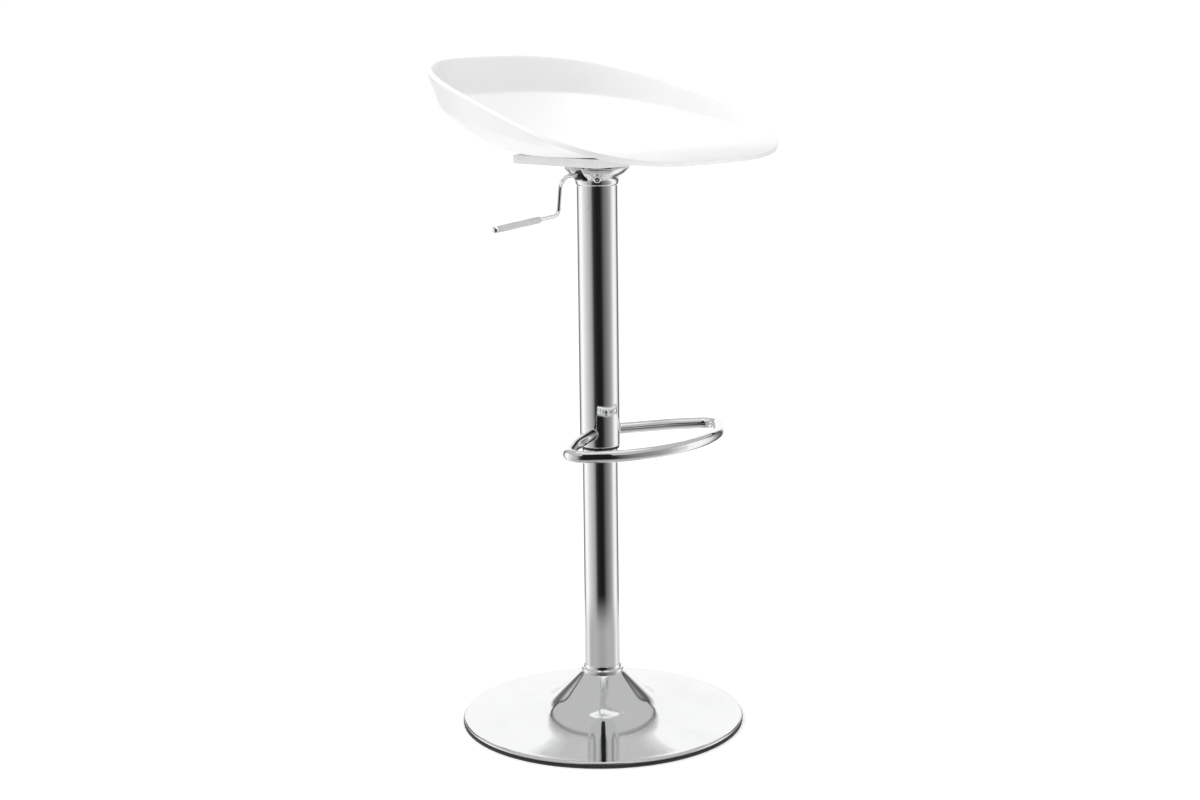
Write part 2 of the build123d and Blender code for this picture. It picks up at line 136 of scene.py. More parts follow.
class Finish:
    """The node tree of one procedural finish, on object coordinates."""

    def __init__(self, owner):
        self.owner = owner
        owner.use_nodes = True
        self.tree = owner.node_tree
        self.tree.nodes.clear()
        self.place = self.node("ShaderNodeTexCoord", output="Object")

    def node(self, kind, settings=None, sockets=None, output=0):
        """Add a node: its settings come first, then the values or links of its sockets."""
        made = self.tree.nodes.new(kind)
        for setting, value in (settings or {}).items():
            if setting == "stops":
                stops = made.color_ramp.elements
                for position, shade in value[2:]:
                    stops.new(position)
                for stop, (position, shade) in zip(stops, value):
                    stop.position, stop.color = position, (shade, shade, shade, 1)
            else:
                setattr(made, setting, value)
        for key, value in (sockets or {}).items():
            socket = made.inputs[key]
            if isinstance(value, Amount):
                self.tree.links.new(value.socket, socket)
            elif socket.type == "RGBA":
                socket.default_value = (*value, 1)
            else:
                socket.default_value = value
        return None if output is None else Amount(self, made.outputs[output])

    def axes(self, place=None):
        """The X, Y and Z of a place on the piece."""
        return [
            self.node("ShaderNodeSeparateXYZ", sockets={0: place or self.place}, output=axis)
            for axis in "XYZ"
        ]

    def turned(self, centre=(0, 0, 0), angles=(0, 0, 0), stretch=(1, 1, 1)):
        sockets = {"Vector": self.place, "Location": centre, "Rotation": angles, "Scale": stretch}
        return self.node("ShaderNodeMapping", sockets=sockets)

    def noise(self, scale, detail=3, roughness=0.5, place=None):
        sockets = {"Vector": place or self.place, "Scale": scale, "Detail": detail, "Roughness": roughness}
        return self.node("ShaderNodeTexNoise", sockets=sockets)

    def cells(self, scale):
        sockets = {"Vector": self.place, "Scale": scale}
        return self.node("ShaderNodeTexVoronoi", sockets=sockets, output="Distance")

    def stretched(self, amount, low, high):
        """Spread the part of an amount between low and high over 0 to 1."""
        sockets = {0: amount, 1: low, 2: high}
        return self.node("ShaderNodeMapRange", {"clamp": True, "interpolation_type": "SMOOTHSTEP"}, sockets)

    def blended(self, amount, first, second):
        """A colour that goes from the first to the second as the amount goes from 0 to 1."""
        return self.node("ShaderNodeMix", {"data_type": "RGBA"}, {0: amount, 6: first, 7: second}, output=2)

    def relief(self, height, depth):
        return self.node("ShaderNodeBump", sockets={"Height": height, "Distance": depth})

    def done(self, **sockets):
        named = {name.replace("_", " "): value for name, value in sockets.items()}
        shader = self.node("ShaderNodeBsdfPrincipled", sockets=named)
        self.node("ShaderNodeOutputMaterial", sockets={"Surface": shader}, output=None)
        return self.owner


def new_finish(name):
    return Finish(bpy.data.materials.new(name))


def polished_chrome():
    """Bright plate over buffed tube: faint waviness, hairline wipe marks and a few dull finger marks."""
    chrome = new_finish("polished_chrome")
    waviness = chrome.noise(38, detail=2)
    hairlines = chrome.noise(60, detail=4, place=chrome.turned(stretch=(9, 9, 0.6)))
    finger_marks = chrome.stretched(chrome.noise(14, detail=4), 0.58, 0.72)
    return chrome.done(
        Base_Color=chrome.blended(finger_marks, (0.93, 0.935, 0.94), (0.88, 0.885, 0.895)),
        Metallic=1.0,
        Roughness=0.022 + 0.02 * hairlines + 0.045 * finger_marks,
        Normal=chrome.relief(waviness + 0.1 * hairlines, 0.00003),
    )


def spun_chrome():
    """Chrome over a spun sheet: rings left by the spinning tool, and the haze of a wiped surface."""
    chrome = new_finish("spun_chrome")
    x, y = chrome.axes()[:2]
    radius = (x * x + y * y) ** 0.5
    rings = (radius * 5200 + 2.4 * chrome.noise(9)).sine()
    haze = chrome.stretched(chrome.noise(11, detail=5), 0.42, 0.75)
    return chrome.done(
        Base_Color=chrome.blended(haze, (0.93, 0.935, 0.94), (0.89, 0.895, 0.9)),
        Metallic=1.0,
        Roughness=0.045 + 0.05 * haze + 0.01 * rings,
        Normal=chrome.relief(rings + 6 * chrome.noise(22, detail=2), 0.000004),
    )


def moulded_white():
    """Glossy white ABS with the fine grain of the mould and a slightly duller, rubbed sitting area."""
    shell = new_finish("moulded_white")
    grain = shell.noise(1500, detail=2)
    flow = shell.stretched(shell.noise(7, detail=4), 0.35, 0.7)
    rubbed = shell.stretched(shell.noise(3.2, detail=5, roughness=0.65), 0.45, 0.65)
    return shell.done(
        Base_Color=shell.blended(flow, (0.905, 0.907, 0.91), (0.885, 0.887, 0.888)),
        Roughness=0.3 + 0.09 * rubbed + 0.06 * grain,
        Normal=shell.relief(grain + 0.4 * shell.cells(700), 0.00002),
        Specular_IOR_Level=0.5,
    )


def knurled_satin(axis_point, axis_tilt):
    """Satin grip with a fine diamond knurl round its own axis; its grooves carry painted shade, darker than
    the diamond tops.
    """
    grip = new_finish("knurled_satin")
    centred = grip.turned(centre=-(Matrix.Rotation(axis_tilt, 3, "Y") @ axis_point), angles=(0, axis_tilt, 0))
    along, across, height = grip.axes(centred)
    around = across.angle_from(height) * 18
    lengthways = along * 3400
    diamonds = abs((around + lengthways).sine()).at_most(abs((around - lengthways).sine()))
    # knurl mask: gives the relief, and also painted shade, colouring the grooves darker than the diamond tops
    knurl_relief_and_groove_shade = grip.stretched(diamonds, 0.05, 0.7)
    worn = grip.stretched(grip.noise(90, detail=4), 0.4, 0.7)
    return grip.done(
        Base_Color=grip.blended(knurl_relief_and_groove_shade, (0.62, 0.625, 0.63), (0.86, 0.865, 0.87)),
        Metallic=0.35,
        Roughness=0.4 - 0.08 * worn,
        Normal=grip.relief(knurl_relief_and_groove_shade, 0.00008),
    )


def powder_coat(name, dark, light, roughness):
    """Baked powder paint: a fine orange peel and a little colour drift."""
    coat = new_finish(name)
    peel = coat.noise(420, detail=3)
    drift = coat.stretched(coat.noise(24, detail=4), 0.35, 0.7)
    return coat.done(
        Base_Color=coat.blended(drift, dark, light),
        Roughness=roughness + 0.12 * peel,
        Normal=coat.relief(peel + 0.5 * coat.cells(300), 0.00012),
    )


def dull_black(name, shade, roughness, grain_scale, grain_depth):
    """Moulded black nylon or rubber: matt, dusty in places, with a fine grain."""
    black = new_finish(name)
    grain = black.noise(grain_scale, detail=4)
    dust = black.stretched(black.noise(55, detail=5), 0.5, 0.8)
    return black.done(
        Base_Color=black.blended(dust, (shade, shade, shade), (shade * 2.2, shade * 2.2, shade * 2.3)),
        Roughness=roughness + 0.15 * grain,
        Normal=black.relief(grain, grain_depth),
    )


def bare_metal(name, bright, dull, roughness, spots=120):
    """Plated or turned metal with cloudy patches and fine turning marks."""
    metal = new_finish(name)
    clouds = metal.stretched(metal.noise(spots, detail=5), 0.35, 0.7)
    marks = metal.noise(300, detail=3, place=metal.turned(stretch=(1, 1, 12)))
    return metal.done(
        Base_Color=metal.blended(clouds, bright, dull),
        Metallic=1.0,
        Roughness=roughness + 0.14 * clouds,
        Normal=metal.relief(marks, 0.00003),
    )


def sand_cast():
    """The bare casting of the base's weight: pitted, grey and rough."""
    cast = new_finish("sand_cast")
    pits = cast.stretched(cast.noise(260, detail=6, roughness=0.7), 0.3, 0.75)
    stain = cast.stretched(cast.noise(18, detail=5), 0.45, 0.75)
    return cast.done(
        Base_Color=cast.blended(stain, (0.09, 0.09, 0.095), (0.17, 0.145, 0.12)),
        Metallic=0.6,
        Roughness=0.62 + 0.2 * pits,
        Normal=cast.relief(pits + 0.5 * cast.cells(140), 0.0006),
    )


# ---------------------------------------------------------------- making pieces


def spun(profile, closed=True, steps=LATHE_STEPS):
    """Turn a profile of (radius, height) in millimetres round the Z axis."""
    bm = bmesh.new()
    corners = [bm.verts.new((r * MM, 0, z * MM)) for r, z in profile]
    following = corners[1:] + corners[:1] if closed else corners[1:]
    sides = [bm.edges.new(ends) for ends in zip(corners, following)]
    bmesh.ops.spin(
        bm, geom=corners + sides, cent=(0, 0, 0), axis=UP, angle=2 * pi, steps=steps, use_merge=True
    )
    return bm


def aimed(bm, start, way):
    """Move a turned shape from the Z axis to start, pointing along way."""
    matrix = Matrix.Translation(start) @ way.to_track_quat("Z", "Y").to_matrix().to_4x4()
    bmesh.ops.transform(bm, matrix=matrix, verts=bm.verts)
    return bm


def joined(first, second):
    """Put one shape into the same mesh as another."""
    carrier = bpy.data.meshes.new("carrier")
    second.to_mesh(carrier)
    second.free()
    first.from_mesh(carrier)
    bpy.data.meshes.remove(carrier)
    return first


def corners_of(edges):
    return list({vert for edge in edges for vert in edge.verts})


def grown(bm, loop):
    """Extrude a loop of edges, and give back the loop at the new edge."""
    new = bmesh.ops.extrude_edge_only(bm, edges=loop)["geom"]
    verts = {part for part in new if isinstance(part, bmesh.types.BMVert)}
    return [part for part in new if isinstance(part, bmesh.types.BMEdge) and verts.issuperset(part.verts)]


def bent_tube(points, bend_radii, tube_radius, segments=40):
    """Run a tube along straight lengths, and bend it round each corner between them."""
    bm = bmesh.new()
    way = (points[1] - points[0]).normalized()
    bmesh.ops.create_circle(bm, segments=segments, radius=tube_radius, cap_ends=False)
    aimed(bm, points[0], way)
    end = bm.edges[:]
    at = points[0]
    for corner, following, bend_radius in zip(points[1:], points[2:], bend_radii):
        next_way = (following - corner).normalized()
        turn = way.angle(next_way)
        axis = way.cross(next_way).normalized()
        bend_start = corner - way * bend_radius * tan(turn / 2)
        end = grown(bm, end)
        bmesh.ops.translate(bm, vec=bend_start - at, verts=corners_of(end))
        bent = bmesh.ops.spin(
            bm, geom=corners_of(end) + end, cent=bend_start + axis.cross(way) * bend_radius, axis=axis,
            angle=turn, steps=max(3, round(turn / BEND_STEP)),
        )["geom_last"]
        end = [part for part in bent if isinstance(part, bmesh.types.BMEdge)]
        at = corner + next_way * bend_radius * tan(turn / 2)
        way = next_way
    end = grown(bm, end)
    bmesh.ops.translate(bm, vec=points[-1] - at, verts=corners_of(end))
    bmesh.ops.holes_fill(bm, edges=[edge for edge in bm.edges if edge.is_boundary], sides=segments)
    return bm


def made_piece(name, bm, finish, body, replaced, levels=0, wall=0, crisp=0):
    """Give a shape its wall, its smoothing, its finish and its place in the stool."""
    bmesh.ops.remove_doubles(bm, verts=bm.verts, dist=SAME_POINT)
    bmesh.ops.recalc_face_normals(bm, faces=bm.faces)
    mesh = bpy.data.meshes.new(name)
    bm.to_mesh(mesh)
    bm.free()
    mesh.shade_smooth()
    mesh.materials.append(finish)
    made = bpy.data.objects.new(name, mesh)
    bpy.context.scene.collection.objects.link(made)
    if crisp:
        mesh.set_sharp_from_angle(angle=radians(crisp))
    if wall:
        thickness = made.modifiers.new("wall", "SOLIDIFY")
        thickness.thickness, thickness.offset = wall, -1
    if levels:
        smoothing = made.modifiers.new("smoothing", "SUBSURF")
        smoothing.levels = smoothing.render_levels = levels
    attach(made, body)
    if replaced:
        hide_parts(*replaced)
    return made


def height_span(node):
    """A CAD node's lowest and highest point, in millimetres."""
    low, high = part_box(node)
    return low.z / MM, high.z / MM


chrome = polished_chrome()
base_chrome = spun_chrome()
white = moulded_white()
painted = powder_coat("painted_plate", (0.74, 0.745, 0.75), (0.8, 0.805, 0.81), 0.14)
nylon = dull_black("black_nylon", 0.012, 0.3, 500, 0.00003)
rubber = dull_black("floor_rubber", 0.016, 0.55, 320, 0.0001)
zinc = bare_metal("bright_zinc", (0.72, 0.73, 0.74), (0.56, 0.58, 0.6), 0.24)
oiled_steel = bare_metal("oiled_black_steel", (0.05, 0.05, 0.055), (0.1, 0.095, 0.09), 0.35)
iron = sand_cast()
bronze = bare_metal("turned_brass", (0.83, 0.62, 0.3), (0.66, 0.47, 0.22), 0.26)


# ---------------------------------------------------------------- base

SKIN_WALL = 1.4
skin_profile = [
    (28.9, 73), (32.1, 70.15), (38.2, 64.4), (48.4, 54.5), (58.6, 44.55), (63.7, 39.6), (68.8, 34.9),
    (73.8, 31), (78.9, 28), (83.9, 25.8), (88.9, 24.1), (99.1, 21.4), (119.2, 17.9), (139.3, 15.35),
    (159.4, 12.9), (186, 9.75), (192.5, 8.98), (195.6, 8.75), (197.6, 8.05), (198.9, 6.9),
    (199.45, 5.6),
]
made_piece("trumpet_base", spun(skin_profile, closed=False), base_chrome, "base", ["base_shell"],
           levels=2, wall=SKIN_WALL * MM)

rubber_profile = [
    (190.2, 0.1), (198.6, 0.1), (199.7, 0.5), (199.95, 1.4), (199.95, 4.9), (199.7, 5.4), (190.2, 5.4),
]
made_piece("floor_ring", spun(rubber_profile), rubber, "base", ["rubber_ring"], crisp=50)

trim_profile = [
    (25.02, 72.9), (29.7, 72.9), (30.15, 73.3), (30.2, 75.8), (29.8, 77.1), (28.6, 77.9), (27, 78.1),
    (26.45, 78.6), (26.4, 82.3), (26.1, 83.1), (25.6, 83.4), (25.02, 83.4),
]
made_piece("column_trim_ring", spun(trim_profile), chrome, "base", ["column_trim"], crisp=50)

column_low, column_high = height_span("column_tube")
column_profile = [
    (25, column_low), (25, column_low + 3), (25, column_high - 3), (25, column_high - 0.7),
    (24.6, column_high - 0.1), (23.4, column_high), (23, column_high - 0.5), (23, column_low),
]
made_piece("column_pipe", spun(column_profile), chrome, "base", ["column_tube"], crisp=50)


# ---------------------------------------------------------------- sleeve and footrest

SLEEVE_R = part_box("sleeve_tube")[1].x / MM
sleeve_low, sleeve_high = height_span("sleeve_tube")
sleeve_profile = [
    (26.5, sleeve_low + 0.4), (26.9, sleeve_low), (27.4, sleeve_low + 0.1), (28.1, sleeve_low + 0.5),
    (28.45, sleeve_low + 1.3), (SLEEVE_R, sleeve_low + 2.4), (SLEEVE_R, sleeve_high), (26.5, sleeve_high),
]
made_piece("sleeve_pipe", spun(sleeve_profile), chrome, "carriage", ["sleeve_tube"], crisp=50)

bush_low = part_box("sleeve_bush")[0].z / MM
bush_profile = [
    (25.1, bush_low + 0.5), (25.5, bush_low), (26.3, bush_low), (27, bush_low + 0.4), (27.2, bush_low + 1.2),
    (27.2, sleeve_low), (26.5, sleeve_low), (26.5, sleeve_low + 30), (25.1, sleeve_low + 30),
]
made_piece("sleeve_wiper", spun(bush_profile), nylon, "carriage", ["sleeve_bush"], crisp=50)

FOOTREST_R = 8 * MM
FOOTREST_CORNERS = [(7, 19), (44, 95), (86, 152), (134, 100), (157, 38)]
FOOTREST_BENDS = [150, 22, 100, 200]
footrest_low, footrest_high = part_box("footrest")
footrest_z = (footrest_low.z + footrest_high.z) / 2
footrest_route = [Vector((-side * MM, -ahead * MM, footrest_z)) for ahead, side in FOOTREST_CORNERS]
footrest_route += [Vector((-point.x, point.y, point.z)) for point in reversed(footrest_route)]
footrest_bends = [bend * MM for bend in FOOTREST_BENDS + FOOTREST_BENDS[::-1]]


def weld_bead(foot, way):
    """A bead of weld where the loop meets the sleeve, saddled to the sleeve's curve."""
    bead_circle = [(8.0 + 1.15 * cos(radians(a)), 1.15 * sin(radians(a))) for a in range(0, 360, 45)]
    bm = aimed(spun(bead_circle, steps=48), foot, way)
    for vert in bm.verts:
        on_way = (vert.co - foot).dot(way)
        level = vert.co - way * on_way
        flat = Vector((level.x, level.y))
        flat_way = Vector((way.x, way.y))
        along = flat.dot(flat_way)
        reach = (along**2 - flat.length_squared + (SLEEVE_R * MM) ** 2) ** 0.5 - along
        vert.co = level + way * (reach + on_way)
    return bm


footrest = bent_tube(footrest_route, footrest_bends, FOOTREST_R, segments=48)
for side in (-1, 1):
    foot = Vector((side * FOOTREST_CORNERS[0][1] * MM, -FOOTREST_CORNERS[0][0] * MM, footrest_z))
    knee = Vector((side * FOOTREST_CORNERS[1][1] * MM, -FOOTREST_CORNERS[1][0] * MM, footrest_z))
    footrest = joined(footrest, weld_bead(foot, (knee - foot).normalized()))
made_piece("footrest_loop", footrest, chrome, "carriage", ["footrest"], crisp=60)


# ---------------------------------------------------------------- seat mechanism

COLLAR_WALL = 1.4
SLOT_HALF_WIDTH = 12
SLOT_SILL = 771.5
collar_low, collar_high = height_span("sleeve_collar")
collar_profile = [
    (SLEEVE_R, collar_low), (28.7, 766.6), (29.3, 769.2), (30.6, 772), (32.6, 774.6), (35.4, 777.1),
    (38.2, 779.6), (40.7, 782.3), (42.6, 785.2), (43.5, 786.8), (44, collar_high),
]
collar = spun(collar_profile, closed=False)
for point, normal in (
    ((0, SLOT_HALF_WIDTH * MM, 0), (0, 1, 0)),
    ((0, -SLOT_HALF_WIDTH * MM, 0), (0, 1, 0)),
    ((0, 0, SLOT_SILL * MM), (0, 0, 1)),
):
    bmesh.ops.bisect_plane(
        collar, geom=collar.verts[:] + collar.edges[:] + collar.faces[:], dist=SAME_POINT,
        plane_co=point, plane_no=normal,
    )
slot_faces = [
    face for face in collar.faces
    if (centre := face.calc_center_median()).x < 0 and abs(centre.y) < SLOT_HALF_WIDTH * MM
    and centre.z > SLOT_SILL * MM
]
bmesh.ops.delete(collar, geom=slot_faces, context="FACES")
made_piece("flared_collar", collar, chrome, "carriage", ["sleeve_collar"],
           wall=COLLAR_WALL * MM, crisp=50)

SCREW_ANGLES = (-135, -15, 105)
SCREW_Z = 773.5
SHANK_START = 16
SEAT_OF_HEAD = 31


def screw_shape(angle):
    """A domed screw with a hexagonal key socket, lying along its radius."""
    outward = Vector((cos(radians(angle)), sin(radians(angle)), 0))
    outline = [
        (0, SHANK_START), (2.4, SHANK_START), (2.4, SEAT_OF_HEAD), (5.1, SEAT_OF_HEAD),
        (5.4, SEAT_OF_HEAD + 0.4), (5.35, SEAT_OF_HEAD + 1.3), (4.9, SEAT_OF_HEAD + 2.7),
        (4, SEAT_OF_HEAD + 3.7), (3, SEAT_OF_HEAD + 4.2),
        (1.9, SEAT_OF_HEAD + 4.3), (1.75, SEAT_OF_HEAD + 4.1), (1.75, SEAT_OF_HEAD + 2.3),
        (0, SEAT_OF_HEAD + 2),
    ]
    bm = spun(outline, closed=False, steps=36)
    for vert in bm.verts:
        radius = hypot(vert.co.x, vert.co.y)
        if 1.7 * MM < radius < 1.8 * MM:
            from_corner = atan2(vert.co.y, vert.co.x) % (pi / 3) - pi / 6
            vert.co.x, vert.co.y = (part * cos(pi / 6) / cos(from_corner) for part in (vert.co.x, vert.co.y))
    return aimed(bm, SCREW_Z * MM * UP, outward)


screws = screw_shape(SCREW_ANGLES[0])
for angle in SCREW_ANGLES[1:]:
    screws = joined(screws, screw_shape(angle))
made_piece("collar_screw_set", screws, chrome, "carriage", ["collar_screws"], crisp=35)

PLATE_WALL = 2.5 * MM
PLATE_THICKNESS = 3 * MM
PLATE_CORNER_R = 6 * MM
PLATE_EDGE_R = 1.4 * MM
plate_low, plate_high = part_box("mounting_plate")
plate_size = plate_high - plate_low
plate = bmesh.new()
bmesh.ops.create_cube(
    plate, size=1,
    matrix=Matrix.Translation((plate_low + plate_high) / 2) @ Matrix.Diagonal((*plate_size, 1)),
)
bmesh.ops.bevel(
    plate, geom=[edge for edge in plate.edges if abs(edge.verts[0].co.z - edge.verts[1].co.z) > MM],
    offset=PLATE_CORNER_R, affect="EDGES", segments=6, profile=0.5, material=-1,
)
top_rim = [edge for edge in plate.edges if all(vert.co.z > plate_high.z - 1e-5 for vert in edge.verts)]
bmesh.ops.bevel(
    plate, geom=top_rim, offset=PLATE_EDGE_R, affect="EDGES", segments=4, profile=0.5, material=-1
)
under_face = [face for face in plate.faces if face.normal.z < -0.9]
bmesh.ops.inset_region(plate, faces=under_face, thickness=PLATE_WALL, use_even_offset=True)
pocket = bmesh.ops.extrude_face_region(plate, geom=under_face)["geom"]
bmesh.ops.delete(plate, geom=under_face, context="FACES")
bmesh.ops.translate(
    plate, verts=[part for part in pocket if isinstance(part, bmesh.types.BMVert)],
    vec=(plate_size.z - PLATE_THICKNESS) * UP,
)
made_piece("pressed_plate", plate, painted, "carriage", ["mounting_plate"], crisp=35)


# ---------------------------------------------------------------- release lever

LEVER_R = 3
GRIP_R = 4.75
GRIP_SPAN = (35, 112)
CAP_LENGTH = 7
LEVER_POINTS = [(1, 796.5), (-12, 796.5), (-26, 779), (-69, 779), (-75, 727.6), (-189.5, 717.9)]
LEVER_BENDS = [5, 5, 20, 10]
lever_route = [Vector((x * MM, 0, z * MM)) for x, z in LEVER_POINTS]
made_piece(
    "lever_bar", bent_tube(lever_route, [bend * MM for bend in LEVER_BENDS], LEVER_R * MM, segments=28),
    chrome, "lever", ["lever_rod"], crisp=50,
)

elbow, lever_tip = lever_route[-2:]
grip_way = (lever_tip - elbow).normalized()
grip_tilt = atan2(-grip_way.z, -grip_way.x)
grip_length = GRIP_SPAN[1] - GRIP_SPAN[0]
grip_profile = [
    (3.05, 0), (4.2, 0), (4.65, 0.25), (GRIP_R, 0.8), (GRIP_R, grip_length - 0.5), (4.6, grip_length - 0.05),
    (3.05, grip_length - 0.05),
]
grip = aimed(spun(grip_profile, steps=48), elbow + grip_way * GRIP_SPAN[0] * MM, grip_way)
made_piece("knurled_grip", grip, knurled_satin(elbow, grip_tilt), "lever", ["lever_grip"],
           crisp=50)

cap_profile = [
    (3.05, 0.02), (4.5, 0.02), (GRIP_R, 0.3), (GRIP_R, 3.4), (4.6, 4.3), (4.15, 5.3), (3.4, 6.15),
    (2.4, 6.7), (1.2, 6.95), (0, CAP_LENGTH),
]
cap = aimed(spun(cap_profile, closed=False, steps=48), elbow + grip_way * GRIP_SPAN[1] * MM, grip_way)
made_piece("domed_cap", cap, chrome, "lever", ["grip_cap"], crisp=50)

spool_low, spool_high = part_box("lever_bush")
spool_profile = [
    (3.05, 0), (6.1, 0), (6.5, 0.4), (6.5, 2.1), (6.1, 2.5), (4.5, 2.5), (4.5, 5.5), (6.1, 5.5),
    (6.5, 5.9), (6.5, 7.6), (6.1, 8), (3.05, 8),
]
spool = aimed(
    spun(spool_profile, steps=40),
    Vector((spool_high.x, 0, (spool_low.z + spool_high.z) / 2)), Vector((-1, 0, 0)),
)
made_piece("pivot_spool", spool, nylon, "lever", ["lever_bush"], crisp=35)


# ---------------------------------------------------------------- seat

SEAT_STEPS = 96
PAN_TOP = 812.5
WALL_T = 5.5
LIP_T = 8
PAN_FLAT_R = 92
RIM_HALF_WIDTH = 205
RIM_FRONT = 222
RIM_BACK = 211
RIM_FRONT_Z = 807
RIM_BACK_Z = 935
RIM_BOW = 8.7
RIM_POWER = 2.9
RIM_WIDER_IN_FRONT = 0.117
FOLD_AT = 0.90
FOLD_RISE = 0.58
CREST = 13
BOWL_WAYS = [0.1, 0.2, 0.3, 0.4, 0.5, 0.6, 0.7, 0.78, 0.84, 0.885]
WALL_WAYS = [0.915, 0.945, 0.975]
PAN_HUB_R = 14
PAN_RINGS = [PAN_HUB_R, 50, 80, PAN_FLAT_R]


def rim_at(bearing):
    """Radius and height of the rim's inner edge, bearing measured from straight ahead."""
    ahead, side = cos(bearing), sin(bearing)
    half_length = (RIM_FRONT + RIM_BACK) / 2 + (RIM_FRONT - RIM_BACK) / 2 * ahead
    half_width = RIM_HALF_WIDTH * (1 + RIM_WIDER_IN_FRONT * ahead)
    r = (abs(ahead / half_length) ** RIM_POWER + abs(side / half_width) ** RIM_POWER) ** (-1 / RIM_POWER)
    reach = r * ahead / half_length
    z = (RIM_FRONT_Z + RIM_BACK_Z) / 2 + (RIM_FRONT_Z - RIM_BACK_Z) / 2 * reach + RIM_BOW * (1 - reach**2)
    return r, z


def seat_point(bearing, way):
    """A point (radius, height) of the seat's top surface, from the pan's edge (0) to the rim (1)."""
    rim_r, rim_z = rim_at(bearing)
    if way < FOLD_AT:
        rise = FOLD_RISE * (way / FOLD_AT) ** 1.8
    else:
        rise = FOLD_RISE + (1 - FOLD_RISE) * (way - FOLD_AT) / (1 - FOLD_AT)
    crest = CREST * max(0, cos(bearing)) ** 2 * 6.75 * way**2 * (1 - way)
    return PAN_FLAT_R + way * (rim_r - PAN_FLAT_R), PAN_TOP + rise * (rim_z - PAN_TOP) + crest


def under_point(bearing, way, thickness):
    """The point of the underside that lies square to the top surface."""
    step = 0.01
    low, high = (way - step, way) if way >= FOLD_AT else (way, way + step)
    (r0, z0), (r1, z1) = seat_point(bearing, low), seat_point(bearing, high)
    run = hypot(r1 - r0, z1 - z0)
    r, z = seat_point(bearing, way)
    return r + (z1 - z0) / run * thickness, z - (r1 - r0) / run * thickness


def part_way(first, second, share):
    return tuple(a + (b - a) * share for a, b in zip(first, second))


def seat_rings():
    """Where each ring of the shell lies, from the pan's middle over the rim to the middle underneath."""
    for radius in PAN_RINGS:
        yield lambda bearing, radius=radius: (radius, PAN_TOP)
    for way in BOWL_WAYS + [FOLD_AT] + WALL_WAYS:
        yield lambda bearing, way=way: seat_point(bearing, way)
    for share in (0, 0.12, 0.5, 0.88, 1):
        yield lambda bearing, share=share: part_way(
            seat_point(bearing, 1), under_point(bearing, 1, LIP_T), share
        )
    for share in (0.25, 0.6, 0.9, 1):
        yield lambda bearing, share=share: part_way(
            under_point(bearing, 1, LIP_T), under_point(bearing, FOLD_AT, WALL_T), share
        )
    for way in BOWL_WAYS[::-1]:
        yield lambda bearing, way=way: under_point(bearing, way, WALL_T)
    for radius in PAN_RINGS[::-1]:
        yield lambda bearing, radius=radius: (radius, PAN_TOP - WALL_T)


def scoop_shell():
    """Grow the shell ring by ring from the middle of the pan, over the rim and back underneath."""
    bm = bmesh.new()
    bmesh.ops.create_circle(bm, segments=SEAT_STEPS, radius=PAN_HUB_R * MM, cap_ends=False)
    loop = bm.edges[:]
    for number, lies_at in enumerate(seat_rings()):
        if number:
            loop = grown(bm, loop)
        for vert in corners_of(loop):
            bearing = atan2(vert.co.x, -vert.co.y)
            r, z = lies_at(bearing)
            vert.co = Vector((r * sin(bearing), -r * cos(bearing), z)) * MM
    bmesh.ops.holes_fill(bm, edges=[edge for edge in bm.edges if edge.is_boundary], sides=SEAT_STEPS)
    return bm


made_piece("scoop_seat", scoop_shell(), white, "carriage", ["seat_shell"], levels=2)


# ---------------------------------------------------------------- inner parts keep their machined meshes

inner_finish = {
    "chrome": chrome, "white_shell": white, "satin_grip": zinc, "painted_plate": painted,
    "black_plastic": nylon, "rubber": rubber, "plated_steel": zinc, "black_steel": oiled_steel,
    "cast_weight": iron, "brass": bronze,
}
for part in frame["record"]["subparts"]:
    mesh = frame["nodes"][part["node"]].data
    mesh.materials.clear()
    mesh.materials.append(inner_finish[part["material_slot"]])


# ---------------------------------------------------------------- studio

scene = bpy.context.scene
scene.view_settings.view_transform = "Standard"

air = Finish(bpy.data.worlds.new("studio_air"))
scene.world = air.owner
seen = air.node("ShaderNodeLightPath", output="Is Camera Ray")
mirrored = air.node("ShaderNodeLightPath", output="Is Glossy Ray")
brightness = 0.54 + 0.48 * seen - 0.02 * mirrored
glow = air.node("ShaderNodeBackground", sockets={"Color": (1, 1, 1), "Strength": brightness})
air.node("ShaderNodeOutputWorld", sockets={"Surface": glow}, output=None)


def staged(name, bm, finish):
    """Put a part of the studio in the scene."""
    mesh = bpy.data.meshes.new(name)
    bm.to_mesh(mesh)
    bm.free()
    mesh.materials.append(finish)
    made = bpy.data.objects.new(name, mesh)
    scene.collection.objects.link(made)
    return made


FLOOR_HALF_SIDE = 9
floor_sheet = bmesh.new()
bmesh.ops.create_grid(floor_sheet, x_segments=8, y_segments=8, size=FLOOR_HALF_SIDE)
paper = new_finish("floor_paper")
floor_x, floor_y = paper.axes()[:2]
far_off = paper.stretched((floor_x * floor_x + floor_y * floor_y) ** 0.5, 0.9, 4.5)
floor_paper = paper.done(
    Base_Color=paper.blended(paper.noise(5), (0.88, 0.88, 0.88), (0.92, 0.92, 0.92)),
    Roughness=0.7 + 0.1 * paper.noise(80),
    Emission_Color=paper.blended(far_off, (0.4, 0.4, 0.4), (0.66, 0.66, 0.66)),
    Emission_Strength=1.0,
    Specular_IOR_Level=0.1,
)
staged("floor", floor_sheet, floor_paper)

